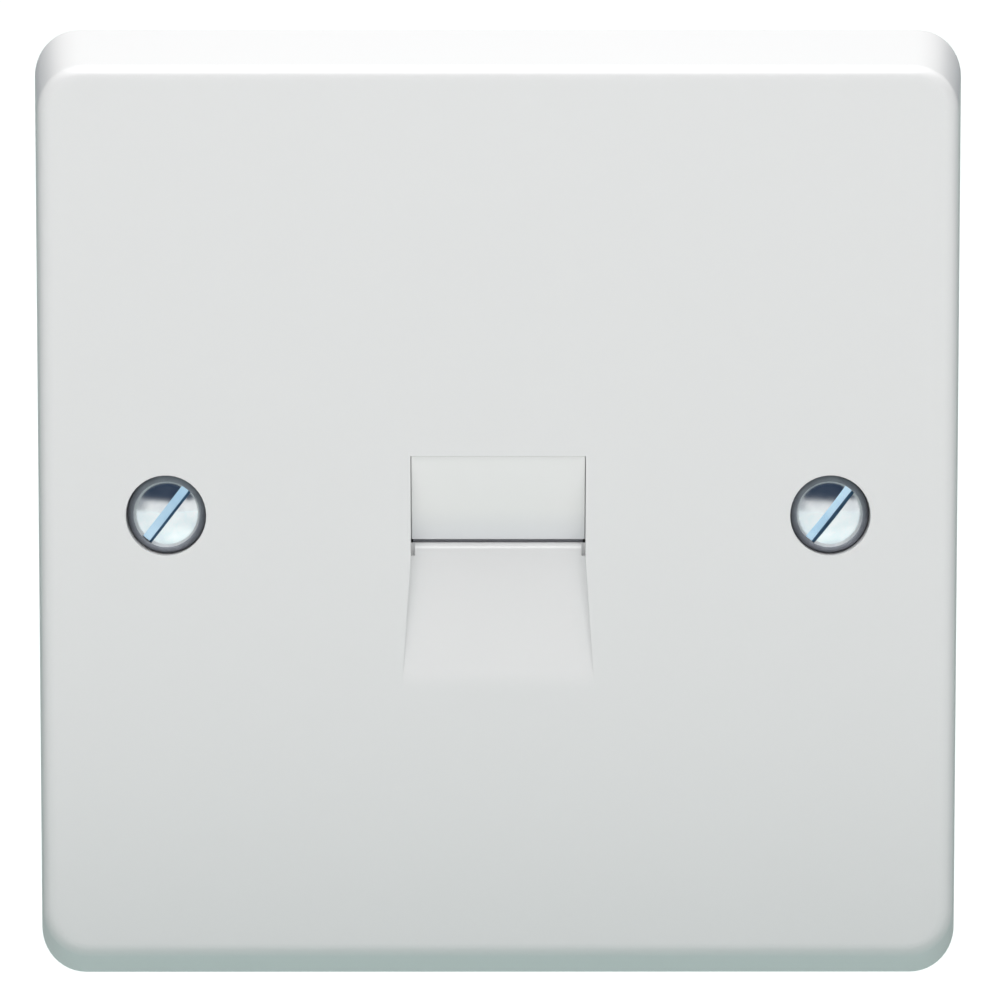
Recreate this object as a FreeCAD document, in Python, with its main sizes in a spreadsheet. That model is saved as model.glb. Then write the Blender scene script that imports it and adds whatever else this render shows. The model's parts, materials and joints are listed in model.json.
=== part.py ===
"""Telephone wall socket on a one-gang plate, in millimetres.

The origin is on the wall plane, midway between the two fixing screws. +Z is up, the face
looks along -Y and the mechanism stands behind the wall plane, in the box in the wall.
Depths are measured from the front face, and drops and rises from the line of the screws.
"""
import FreeCAD, Part
import Sketcher
import math
import os

V = FreeCAD.Vector

SIZES = {
    # Faceplate: outside, hollow and stiffening
    "PlateWidth": 85.0,
    "PlateHeight": 87.6,
    "PlateDepth": 9.5,
    "SideInset": 1.0,
    "TopInset": 3.4,
    "PlateCorner": 4.2,
    "FaceRounding": 1.4,
    "FaceWall": 2.4,
    "RimWall": 2.5,
    "HollowCorner": 1.8,
    "RibThickness": 1.2,
    "RibHeight": 3.2,
    "RibOffset": 8.0,
    "SeatThickness": 1.0,
    "SeatMargin": 0.8,
    # Fixing screws and their holes
    "FixingSpacing": 60.3,
    "BossRadius": 4.6,
    "CounterboreRadius": 3.66,
    "CounterboreDepth": 2.0,
    "FixingHoleRadius": 2.0,
    "SeatGap": 0.06,
    "HeadRadius": 3.0,
    "HeadSet": 0.35,
    "HeadDome": 0.65,
    "HeadLand": 0.4,
    "ShankRadius": 1.55,
    "ThreadRadius": 1.75,
    "ScrewReach": 15.8,
    "SlotWidth": 1.0,
    "SlotDepth": 1.1,
    "SlotAngle": 52.0,
    # Window, scoop and lip in the face
    "WindowHalfWidth": 7.95,
    "WindowTop": 5.4,
    "WindowSlope": 0.36,
    "LipShoulder": 3.9,
    "LipTop": 2.75,
    "LipDepth": 2.05,
    "LipRounding": 0.85,
    "LipBack": 3.05,
    "LipNotch": 0.35,
    "ScoopDrop": 14.9,
    "ScoopFlare": 0.8,
    "ScoopEase": 8.0,
    # Shutter, its pin and its spring
    "PivotDepth": 5.5,
    "PivotDrop": 4.55,
    "BarrelRadius": 1.25,
    "ShutterThickness": 1.3,
    "ShutterGap": 0.2,
    "ShutterSet": 0.35,
    "ShutterTopGap": 0.15,
    "ShutterRounding": 0.4,
    "PinRadius": 0.6,
    "PinRunning": 0.05,
    "PinBearing": 1.4,
    "SpringWire": 0.175,
    "SpringRadius": 0.95,
    "SpringPitch": 1.0,
    "SpringTurns": 3,
    "SpringLeg": 3.6,
    "LegRestLength": 1.8,
    "SpringExit": 45.0,
    "SpringBend": 0.6,
    "SpringNotch": 2.6,
    "SpringNotchRise": 2.0,
    # Jack housing
    "HousingWall": 2.8,
    "HousingFloor": 1.6,
    "HousingRoof": 2.2,
    "HousingDepth": 15.2,
    "RearWall": 1.5,
    "HousingCorner": 0.6,
    "CavityHalfWidth": 8.0,
    "CavityDrop": 6.1,
    "CavityRise": 6.8,
    "LatchDepth": 5.0,
    "LatchLength": 4.0,
    "LatchRecess": 1.3,
    "LatchLow": 2.3,
    "LatchHigh": 3.5,
    "RailThickness": 0.6,
    "RailWidth": 0.6,
    "PegHalf": 0.8,
    "PegInset": 1.3,
    "PegSet": 0.3,
    "PegGap": 0.05,
    # Comb and contact strips. The strips' elbows and tips are placed from the board forward
    "CombNose": 11.5,
    "CombLine": 6.55,
    "CombHalf": 0.85,
    "CombChamfer": 0.5,
    "CoreHalf": 0.4,
    "CoreRounding": 0.38,
    "CombGap": 0.05,
    "ContactCount": 6,
    "ContactPitch": 1.9,
    "GrooveWidth": 0.6,
    "StripWidth": 0.5,
    "StripThickness": 0.3,
    "StripGap": 0.02,
    "ElbowDepth": 5.0,
    "ElbowHeight": 4.3,
    "ElbowRadius": 0.8,
    "TipDepth": 2.8,
    "TipHeight": 5.0,
    "TailReach": 0.6,
    # Circuit board, pillars and their screws
    "BoardHalfWidth": 19.0,
    "BoardHalfHeight": 17.0,
    "BoardThickness": 1.6,
    "BoardCorner": 1.5,
    "PillarX": 15.0,
    "PillarZ": 12.8,
    "PillarRadius": 3.0,
    "PilotRadius": 1.25,
    "PilotDepth": 9.0,
    "BoardScrewRadius": 1.2,
    "BoardScrewLength": 8.0,
    "BoardScrewHead": 2.4,
    "BoardScrewRise": 1.5,
    "CrossWidth": 0.6,
    "CrossLength": 2.6,
    "CrossDepth": 0.9,
    "BoardHoleGap": 0.15,
    "TailGap": 0.1,
    # Terminal blocks and blades
    "BlockX": 12.4,
    "BlockHalfWidth": 4.2,
    "BlockHalfHeight": 7.75,
    "BlockRise": 10.0,
    "BlockChamfer": 0.5,
    "WayPitch": 5.0,
    "WaySlot": 2.2,
    "WaySlotDepth": 6.2,
    "BladeHalfWidth": 1.9,
    "BladeThickness": 0.5,
    "BladeSet": 0.8,
    "BladeFork": 0.35,
    "BladeForkDepth": 4.6,
    "BladeMouth": 1.3,
    "BladeMouthDepth": 1.0,
    "BladeFoot": 0.8,
    "BladeFootReach": 0.5,
    "BladeGap": 0.05,
    # How far a cutting tool runs past the surface that it opens
    "Beyond": 1.0,
}


class Size:
    """A number together with the sheet expression that gives it."""

    def __init__(self, number, text):
        self.number = number
        self.text = text

    def __add__(self, other):
        return join(self, "+", other, lambda a, b: a + b)

    def __radd__(self, other):
        return join(other, "+", self, lambda a, b: a + b)

    def __sub__(self, other):
        return join(self, "-", other, lambda a, b: a - b)

    def __rsub__(self, other):
        return join(other, "-", self, lambda a, b: a - b)

    def __mul__(self, other):
        return join(self, "*", other, lambda a, b: a * b)

    def __rmul__(self, other):
        return join(other, "*", self, lambda a, b: a * b)

    def __truediv__(self, other):
        return join(self, "/", other, lambda a, b: a / b)

    def __neg__(self):
        return Size(-self.number, f"(-1 * {self.text})")


def as_size(item):
    return item if isinstance(item, Size) else Size(item, repr(item))


def join(left, sign, right, work):
    left = as_size(left)
    right = as_size(right)
    return Size(work(left.number, right.number), f"({left.text} {sign} {right.text})")


def root(size):
    return Size(math.sqrt(size.number), f"sqrt({size.text})")


def angle_of(rise, run):
    """The angle in degrees whose tangent is rise over run."""
    angle = math.degrees(math.atan2(rise.number, run.number))
    return Size(angle, f"atan2({rise.text}; {run.text})")


class Named:
    """Every size of the sheet, as an attribute."""


doc = FreeCAD.newDocument("telephone_wall_socket")
sheet = doc.addObject("Spreadsheet::Sheet", "Sizes")
s = Named()
for row, (name, number) in enumerate(SIZES.items(), start=1):
    sheet.set(f"A{row}", name)
    sheet.set(f"B{row}", str(number))
    sheet.setAlias(f"B{row}", name)
    setattr(s, name, Size(number, f"Sizes.{name}"))
doc.recompute()

WAY_LEVELS = (1, 0, -1)
WIRE_SIDES = 6

# Places that several pieces share
FRONT = -s.PlateDepth
SEAT = FRONT + s.FaceWall + s.SeatThickness
INNER_FACE = FRONT + s.FaceWall
BOARD_FRONT = SEAT + s.HousingDepth
BOARD_BACK = BOARD_FRONT + s.BoardThickness
CAVITY_BACK = BOARD_FRONT - s.RearWall
HOUSING_HALF_WIDTH = s.CavityHalfWidth + s.HousingWall
HOUSING_LOW = -(s.CavityDrop + s.HousingFloor)
HOUSING_HIGH = s.CavityRise + s.HousingRoof
PIVOT_Y = FRONT + s.PivotDepth
PIVOT_Z = -s.PivotDrop
PIN_HALF_LENGTH = s.CavityHalfWidth + s.PinBearing
RAMP_SLOPE = s.LipDepth / (s.ScoopDrop - s.LipShoulder)
STRIP_BEND = s.CoreHalf + s.StripThickness / 2 + s.StripGap
STRIP_LINE = s.CombLine + STRIP_BEND
COMB_HALF_WIDTH = s.CavityHalfWidth - s.CombGap
FIRST_FIN_X = -COMB_HALF_WIDTH + (s.ContactPitch - s.GrooveWidth) / 2
FIRST_CONTACT_X = FIRST_FIN_X + s.ContactPitch / 2
BLOCK_BACK = BOARD_BACK + s.BlockRise

# The shutter's top edge stands just inside the window and its front face is tangent to the
# barrel, which together give its length and how far it leans forward
SHUTTER_RUN = s.PivotDepth - s.ShutterSet
SHUTTER_RISE = s.WindowTop - s.ShutterTopGap + s.PivotDrop
SHUTTER_LENGTH = root(
    SHUTTER_RUN * SHUTTER_RUN + SHUTTER_RISE * SHUTTER_RISE - s.BarrelRadius * s.BarrelRadius
)
SHUTTER_LEAN = angle_of(SHUTTER_RUN, SHUTTER_RISE) - angle_of(s.BarrelRadius, SHUTTER_LENGTH)


def new_body(label):
    body = doc.addObject("PartDesign::Body", label)
    body.Label = label
    body.AllowCompound = True
    return body


def place(body, **sizes):
    """Bind the body's place to the sheet, one coordinate at a time."""
    for axis, size in sizes.items():
        body.setExpression(f".Placement.Base.{axis}", as_size(size).text)


def new_sketch(body, name, plane, offset=0, shift=0, turn=None):
    """A sketch on one of the body's origin planes, moved along its normal and sideways."""
    sketch = body.newObject("Sketcher::SketchObject", name)
    support = [item for item in body.Origin.OriginFeatures if item.Role == plane][0]
    sketch.AttachmentSupport = [(support, "")]
    sketch.MapMode = "FlatFace"
    angle = 0.0 if turn is None else turn.number
    base = V(as_size(shift).number, 0, as_size(offset).number)
    sketch.AttachmentOffset = FreeCAD.Placement(base, FreeCAD.Rotation(V(0, 0, 1), angle))
    sketch.setExpression(".AttachmentOffset.Base.z", as_size(offset).text)
    sketch.setExpression(".AttachmentOffset.Base.x", as_size(shift).text)
    if turn is not None:
        sketch.setExpression(".AttachmentOffset.Rotation.Angle", turn.text)
    return sketch


def front_sketch(body, name, y, shift=0, turn=None):
    """A sketch seen from the front, X across and Z up, on the plane at y."""
    return new_sketch(body, name, "XZ_Plane", -as_size(y), shift, turn)


def side_sketch(body, name, x=0):
    """A sketch in section, Y across and Z up, on the plane at x."""
    return new_sketch(body, name, "YZ_Plane", x)


def fix(sketch, kind, *items, size=None):
    """Add a constraint, bound to the sheet where it has a size."""
    if size is None:
        sketch.addConstraint(Sketcher.Constraint(kind, *items))
        return
    index = sketch.addConstraint(Sketcher.Constraint(kind, *items, size.number))
    sketch.setExpression(f"Constraints[{index}]", size.text)


def vertex(sketch, across, up):
    """A construction point held at two sizes from the sketch's origin."""
    across = as_size(across)
    up = as_size(up)
    point = sketch.addGeometry(Part.Point(V(across.number, up.number, 0)), True)
    fix(sketch, "DistanceX", -1, 1, point, 1, size=across)
    fix(sketch, "DistanceY", -1, 1, point, 1, size=up)
    return point


def outline(sketch, corners, closed=True, dome=False):
    """Straight edges from corner to corner, each (across, up) or (across, up, radius).

    With dome, the first edge is an arc centred on the sketch's vertical axis.
    """
    spots = [V(as_size(item[0]).number, as_size(item[1]).number, 0) for item in corners]
    points = [vertex(sketch, item[0], item[1]) for item in corners]
    radii = [item[2] if len(item) > 2 else None for item in corners]
    count = len(corners)
    edges = count if closed else count - 1
    starts = list(spots)
    ends = list(spots)
    for i, radius in enumerate(radii):
        if radius is None:
            continue
        before = (spots[i - 1] - spots[i]).normalize()
        after = (spots[(i + 1) % count] - spots[i]).normalize()
        reach = as_size(radius).number / math.tan(before.getAngle(after) / 2)
        ends[i] = spots[i] + before * reach
        starts[i] = spots[i] + after * reach
    lines = []
    for i in range(edges):
        k = (i + 1) % count
        if dome and i == 0:
            lines.append(sketch.addGeometry(dome_arc(spots[0], spots[1])))
        else:
            lines.append(sketch.addGeometry(Part.LineSegment(starts[i], ends[k])))
    for i in range(count):
        line_in = lines[i - 1] if closed or i > 0 else None
        line_out = lines[i] if i < edges else None
        if radii[i] is None:
            meet(sketch, points[i], line_in, line_out, dome and i < 2, i == 0)
        else:
            round_corner(sketch, points[i], line_in, line_out, ends[i], starts[i], spots[i], radii[i])


def dome_arc(top, rim):
    """The arc from the axis out to the rim, centred on the axis."""
    drop = rim.y - top.y
    radius = (rim.x ** 2 + drop ** 2) / (2 * abs(drop))
    centre = V(0, top.y + math.copysign(radius, drop), 0)
    toward = [math.atan2(spot.y - centre.y, spot.x - centre.x) for spot in (top, rim)]
    circle = Part.Circle(centre, V(0, 0, 1), radius)
    return Part.ArcOfCircle(circle, min(toward), max(toward))


def meet(sketch, point, line_in, line_out, domed, first):
    """Join the two edges at a sharp corner."""
    if not domed:
        if line_in is not None:
            fix(sketch, "Coincident", line_in, 2, point, 1)
        if line_out is not None:
            fix(sketch, "Coincident", line_out, 1, point, 1)
        return
    arc = line_out if first else line_in
    other = line_in if first else line_out
    spot = sketch.getPoint(point, 1)
    near_start = sketch.getPoint(arc, 1).distanceToPoint(spot) < 1e-6
    fix(sketch, "Coincident", arc, 1 if near_start else 2, point, 1)
    fix(sketch, "Coincident", other, 2 if first else 1, point, 1)
    if first:
        fix(sketch, "PointOnObject", arc, 3, -2)


def round_corner(sketch, point, line_in, line_out, begin, finish, corner, radius):
    """Join the two edges by an arc that is tangent to both."""
    radius = as_size(radius)
    turn_left = (corner - begin).cross(finish - corner).z > 0
    inward = V(-(corner - begin).y, (corner - begin).x, 0).normalize()
    centre = begin + inward * (radius.number if turn_left else -radius.number)
    first, last = (begin, finish) if turn_left else (finish, begin)
    low = math.atan2(first.y - centre.y, first.x - centre.x)
    high = math.atan2(last.y - centre.y, last.x - centre.x)
    if high < low:
        high += 2 * math.pi
    arc = sketch.addGeometry(Part.ArcOfCircle(Part.Circle(centre, V(0, 0, 1), radius.number), low, high))
    arc_in, arc_out = (1, 2) if turn_left else (2, 1)
    fix(sketch, "PointOnObject", point, 1, line_in)
    fix(sketch, "PointOnObject", point, 1, line_out)
    fix(sketch, "Tangent", line_in, 2, arc, arc_in)
    fix(sketch, "Tangent", arc, arc_out, line_out, 1)
    fix(sketch, "Radius", arc, size=radius)


def rectangle(sketch, left, right, low, high, radius=None):
    """An upright rectangle, with round corners where a radius is given."""
    spots = [(left, low), (right, low), (right, high), (left, high)]
    outline(sketch, [spot if radius is None else spot + (radius,) for spot in spots])


def circle(sketch, across, up, radius):
    """A circle whose centre and radius are bound to the sheet."""
    across = as_size(across)
    up = as_size(up)
    centre = V(across.number, up.number, 0)
    ring = sketch.addGeometry(Part.Circle(centre, V(0, 0, 1), as_size(radius).number))
    fix(sketch, "DistanceX", -1, 1, ring, 3, size=across)
    fix(sketch, "DistanceY", -1, 1, ring, 3, size=up)
    fix(sketch, "Radius", ring, size=as_size(radius))


def extrude(body, kind, sketch, length, name, backward=False, midplane=False):
    """Pad or pocket a sketch. Backward turns a pad or a pocket against its usual way."""
    feature = body.newObject(f"PartDesign::{kind}", name)
    feature.Profile = sketch
    feature.Midplane = midplane
    feature.Reversed = backward
    feature.Length = as_size(length).number
    feature.setExpression("Length", as_size(length).text)
    return feature


def pad(body, sketch, length, name, backward=False, midplane=False):
    return extrude(body, "Pad", sketch, length, name, backward, midplane)


def pocket(body, sketch, length, name, backward=False, midplane=False):
    return extrude(body, "Pocket", sketch, length, name, backward, midplane)


def loft(body, kind, sketches, name):
    """Ruled loft between two sketches."""
    feature = body.newObject(f"PartDesign::{kind}", name)
    feature.Profile = sketches[0]
    feature.Sections = sketches[1:]
    feature.Ruled = True
    return feature


def turned(body, kind, sketch, name):
    """Revolve or groove a sketch all the way round its own vertical axis."""
    feature = body.newObject(f"PartDesign::{kind}", name)
    feature.Profile = sketch
    feature.ReferenceAxis = (sketch, ["V_Axis"])
    feature.Angle = 360.0
    return feature


def repeat(body, features, axis, pitch, count, name):
    """A row of the features along one of the body's axes."""
    row = body.newObject("PartDesign::LinearPattern", name)
    row.Originals = features
    line = [item for item in body.Origin.OriginFeatures if item.Role == axis][0]
    row.Direction = (line, [""])
    length = pitch * (count - 1)
    row.Length = length.number
    row.setExpression("Length", length.text)
    row.Occurrences = int(as_size(count).number)
    row.setExpression("Occurrences", as_size(count).text)
    body.Tip = row
    return row


def turn_over(body, features, name):
    """The same features again, half a turn round the axis that the plug goes in along."""
    twin = body.newObject("PartDesign::PolarPattern", name)
    twin.Originals = features
    line = [item for item in body.Origin.OriginFeatures if item.Role == "Y_Axis"][0]
    twin.Axis = (line, [""])
    twin.Angle = 360.0
    twin.Occurrences = 2
    body.Tip = twin
    return twin


def mirror(body, features, plane, name):
    """The same features on the other side of one of the body's planes."""
    twin = body.newObject("PartDesign::Mirrored", name)
    twin.Originals = features
    side = [item for item in body.Origin.OriginFeatures if item.Role == plane][0]
    twin.MirrorPlane = (side, [""])
    body.Tip = twin
    return twin


def ease(body, base, kind, choose, size, name):
    """Fillet or chamfer the edges that choose picks."""
    doc.recompute()
    picked = [f"Edge{i}" for i, edge in enumerate(base.Shape.Edges, start=1) if choose(edge)]
    feature = body.newObject(f"PartDesign::{kind}", name)
    feature.Base = (base, picked)
    setting = "Radius" if kind == "Fillet" else "Size"
    setattr(feature, setting, size.number)
    feature.setExpression(setting, size.text)
    return feature


def on_plane(axis, size):
    """Pick edges whose ends all lie at one coordinate."""
    level = as_size(size).number
    return lambda edge: all(abs(getattr(end.Point, axis) - level) < 1e-4 for end in edge.Vertexes)


def spans_depth(edge):
    """Pick the edges that run from the wall plane to the front face."""
    depths = [end.Point.y for end in edge.Vertexes]
    return abs(max(depths) - min(depths) - s.PlateDepth.number) < 1e-4


def make_faceplate():
    """One moulding: pillow-edged outside, hollow behind, with bosses, pillars and the scoop."""
    body = new_body("faceplate")
    half_x = s.PlateWidth / 2
    half_z = s.PlateHeight / 2
    edge = front_sketch(body, "plate_edge", 0)
    rectangle(edge, -half_x, half_x, -half_z, half_z)
    pad(body, edge, s.PlateDepth, "plate_block")

    # The top and bottom slope in more than the sides do
    tall_cut = side_sketch(body, "top_slope_section")
    wide_cut = new_sketch(body, "side_slope_section", "XY_Plane")
    top_slope = s.TopInset / s.PlateDepth
    side_slope = s.SideInset / s.PlateDepth
    ahead = FRONT - s.Beyond
    for side in (-1, 1):
        top_out = side * (half_z + top_slope * s.Beyond)
        top_in = side * (half_z - s.TopInset - top_slope * s.Beyond)
        outline(tall_cut, [(ahead, top_in), (s.Beyond, top_out), (ahead, top_out)])
        side_out = side * (half_x + side_slope * s.Beyond)
        side_in = side * (half_x - s.SideInset - side_slope * s.Beyond)
        outline(wide_cut, [(side_in, ahead), (side_out, s.Beyond), (side_out, ahead)])
    pocket(body, tall_cut, s.PlateWidth + 2 * s.Beyond, "top_and_bottom_slopes", midplane=True)
    slopes = pocket(body, wide_cut, s.PlateHeight + 2 * s.Beyond, "side_slopes", midplane=True)
    corners = ease(body, slopes, "Fillet", spans_depth, s.PlateCorner, "plate_corners")
    ease(body, corners, "Fillet", on_plane("y", FRONT), s.FaceRounding, "face_rounding")

    # The hollow follows the outside at the thickness of the rim
    share = (s.PlateDepth - s.FaceWall) / s.PlateDepth
    mouth = front_sketch(body, "hollow_mouth", 0)
    open_x = half_x - s.RimWall
    open_z = half_z - s.RimWall
    rectangle(mouth, -open_x, open_x, -open_z, open_z, s.HollowCorner)
    end_x = open_x - s.SideInset * share
    end_z = open_z - s.TopInset * share
    end = front_sketch(body, "hollow_end", INNER_FACE)
    rectangle(end, -end_x, end_x, -end_z, end_z, s.HollowCorner)
    loft(body, "SubtractiveLoft", [mouth, end], "hollow")

    # Raised seat for the housing round the window
    seat_x = HOUSING_HALF_WIDTH + s.SeatMargin
    seat_low = -(s.ScoopDrop + s.RibThickness + s.SeatMargin)
    seat_high = HOUSING_HIGH + s.SeatMargin
    seat = front_sketch(body, "seat_outline", INNER_FACE)
    rectangle(seat, -seat_x, seat_x, seat_low, seat_high)
    pad(body, seat, s.SeatThickness, "housing_seat", backward=True)

    fixing_x = s.FixingSpacing / 2
    bosses = front_sketch(body, "boss_rings", INNER_FACE)
    for side in (-1, 1):
        circle(bosses, side * fixing_x, 0, s.BossRadius)
    pad(body, bosses, s.PlateDepth - s.FaceWall, "fixing_bosses", backward=True)

    ribs = front_sketch(body, "rib_lines", INNER_FACE)
    for side in (-1, 1):
        near = sorted((side * seat_x, side * end_x), key=lambda size: size.number)
        rectangle(ribs, near[0], near[1], -s.RibThickness / 2, s.RibThickness / 2)
        left = side * s.RibOffset - s.RibThickness / 2
        right = side * s.RibOffset + s.RibThickness / 2
        rectangle(ribs, left, right, seat_high, end_z)
        rectangle(ribs, left, right, -end_z, seat_low)
    pad(body, ribs, s.RibHeight, "stiffening_ribs", backward=True)

    posts = front_sketch(body, "pillar_rings", INNER_FACE)
    pilots = front_sketch(body, "pilot_rings", BOARD_FRONT)
    for side in (-1, 1):
        circle(posts, side * s.PillarX, side * s.PillarZ, s.PillarRadius)
        circle(pilots, side * s.PillarX, side * s.PillarZ, s.PilotRadius)
    pad(body, posts, BOARD_FRONT - INNER_FACE, "board_pillars", backward=True)
    pocket(body, pilots, s.PilotDepth, "pilot_holes", backward=True)

    # Counterbore, screw seat and clearance hole, all turned about the screw's axis
    mouth_radius = s.HeadRadius - (s.CounterboreDepth - s.HeadSet - s.HeadDome - s.HeadLand)
    seat_radius = mouth_radius + s.SeatGap
    bore_floor = FRONT + s.CounterboreDepth
    bore = new_sketch(body, "screw_seat", "XY_Plane", 0, -fixing_x)
    outline(bore, [
        (0, FRONT - s.Beyond),
        (s.CounterboreRadius, FRONT - s.Beyond),
        (s.CounterboreRadius, bore_floor),
        (seat_radius, bore_floor),
        (s.FixingHoleRadius, bore_floor + seat_radius - s.FixingHoleRadius),
        (s.FixingHoleRadius, s.Beyond),
        (0, s.Beyond),
    ])
    drilled = turned(body, "Groove", bore, "screw_hole")
    mirror(body, [drilled], "YZ_Plane", "screw_holes")

    # Window for the plug, under a top edge that slopes up as it goes in
    window = side_sketch(body, "window_section")
    back = SEAT + s.Beyond
    outline(window, [
        (FRONT - s.Beyond, s.WindowTop - s.WindowSlope * s.Beyond),
        (FRONT - s.Beyond, -(s.LipShoulder + s.Beyond)),
        (back, -(s.LipShoulder + s.Beyond)),
        (back, s.WindowTop + s.WindowSlope * (back - FRONT)),
    ])
    pocket(body, window, 2 * s.WindowHalfWidth, "window", midplane=True)

    # The scoop is opened right through and its ramp is filled in again from the side
    scoop_low = -(s.ScoopDrop + s.ScoopEase * RAMP_SLOPE / 2)
    scoop_x = s.WindowHalfWidth + s.ScoopFlare
    scoop = front_sketch(body, "scoop_outline", FRONT)
    outline(scoop, [
        (-scoop_x, scoop_low),
        (scoop_x, scoop_low),
        (s.WindowHalfWidth, -s.LipShoulder),
        (-s.WindowHalfWidth, -s.LipShoulder),
    ])
    pocket(body, scoop, s.FaceWall + s.SeatThickness, "scoop_opening")
    ramp = side_sketch(body, "ramp_section")
    crest = FRONT + s.LipDepth + RAMP_SLOPE * (s.LipShoulder - s.LipTop)
    outline(ramp, [
        (FRONT, scoop_low - s.Beyond),
        (FRONT, -s.ScoopDrop, s.ScoopEase),
        (crest, -s.LipTop, s.LipRounding),
        (FRONT + s.LipBack, -s.LipTop),
        (FRONT + s.LipBack, -s.LipShoulder),
        (SEAT, -(s.LipShoulder + SEAT - FRONT - s.LipBack)),
        (SEAT, scoop_low - s.Beyond),
    ])
    pad(body, ramp, 2 * scoop_x, "ramp", midplane=True)
    notches = front_sketch(body, "notch_outlines", FRONT)
    for side in (-1, 1):
        ends = (side * s.WindowHalfWidth, side * (s.WindowHalfWidth - s.LipNotch))
        near = sorted(ends, key=lambda size: size.number)
        rectangle(notches, near[0], near[1], -s.LipShoulder, -s.LipTop + s.LipNotch)
    pocket(body, notches, SEAT - FRONT, "lip_notches")
    return body


def make_fixing_screws():
    """Two raised countersunk slotted screws, side by side at the fixing centres."""
    body = new_body("fixing_screws")
    head_top = FRONT + s.HeadSet
    rim = head_top + s.HeadDome
    under = rim + s.HeadLand
    profile = new_sketch(body, "screw_section", "XY_Plane", 0, -s.FixingSpacing / 2)
    outline(profile, [
        (0, head_top),
        (s.HeadRadius, rim),
        (s.HeadRadius, under),
        (s.ShankRadius, under + s.HeadRadius - s.ShankRadius),
        (s.ShankRadius, 0),
        (s.ThreadRadius, 0),
        (s.ThreadRadius, s.ScrewReach),
        (0, s.ScrewReach),
    ], dome=True)
    screw = turned(body, "Revolution", profile, "screw")
    slot = front_sketch(body, "slot_outline", head_top, -s.FixingSpacing / 2, s.SlotAngle)
    reach = s.HeadRadius + s.Beyond
    rectangle(slot, -reach, reach, -s.SlotWidth / 2, s.SlotWidth / 2)
    cut = pocket(body, slot, s.SlotDepth, "slot")
    repeat(body, [screw, cut], "X_Axis", s.FixingSpacing, 2, "screw_pair")
    return body


def make_shutter():
    """The flap that closes the window, drawn upright about its own pivot."""
    body = new_body("shutter")
    half = s.WindowHalfWidth - s.ShutterGap
    front = -s.BarrelRadius
    back = front + s.ShutterThickness
    flap = side_sketch(body, "flap_section")
    outline(flap, [
        (front, 0),
        (back, 0),
        (back, SHUTTER_LENGTH, s.ShutterRounding),
        (front, SHUTTER_LENGTH),
    ])
    pad(body, flap, 2 * half, "flap", midplane=True)
    barrel = side_sketch(body, "barrel_section")
    circle(barrel, 0, 0, s.BarrelRadius)
    pad(body, barrel, 2 * half, "barrel", midplane=True)

    # Gap for the spring's coil
    notch = front_sketch(body, "coil_notch_outline", front - s.Beyond)
    rectangle(notch, -s.SpringNotch, s.SpringNotch, front - s.Beyond, s.SpringNotchRise)
    pocket(body, notch, 2 * (s.BarrelRadius + s.Beyond), "coil_notch")
    bore = side_sketch(body, "pin_bore_outline")
    circle(bore, 0, 0, s.PinRadius + s.PinRunning)
    pocket(body, bore, 2 * half + s.Beyond, "pin_bore", midplane=True)
    body.Placement = FreeCAD.Placement(V(), FreeCAD.Rotation(V(1, 0, 0), SHUTTER_LEAN.number))
    place(body, y=PIVOT_Y, z=PIVOT_Z)
    body.setExpression(".Placement.Rotation.Angle", SHUTTER_LEAN.text)
    return body


def make_shutter_pin():
    """The steel pin through the barrel, carried in the housing's side walls."""
    pin = doc.addObject("Part::Cylinder", "shutter_pin")
    pin.Label = "shutter_pin"
    pin.setExpression("Radius", s.PinRadius.text)
    pin.setExpression("Height", (2 * PIN_HALF_LENGTH).text)
    pin.Placement = FreeCAD.Placement(V(), FreeCAD.Rotation(V(0, 1, 0), 90))
    place(pin, x=-PIN_HALF_LENGTH, y=PIVOT_Y, z=PIVOT_Z)
    return pin


# The lower leg leaves one end of the coil and the upper leg leaves the other
COIL_HALF = s.SpringPitch * s.SpringTurns / 2


def wire_section(centre, along, radius):
    """A many-sided section for a thin wire, square to the way it runs."""
    across = along.cross(V(0, 0, 1)).normalize() * radius
    around = FreeCAD.Rotation(along, 360 / WIRE_SIDES)
    ring = [across]
    for _ in range(WIRE_SIDES):
        ring.append(around.multVec(ring[-1]))
    ring[-1] = ring[0]
    return Part.makePolygon([centre + spoke for spoke in ring])


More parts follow.
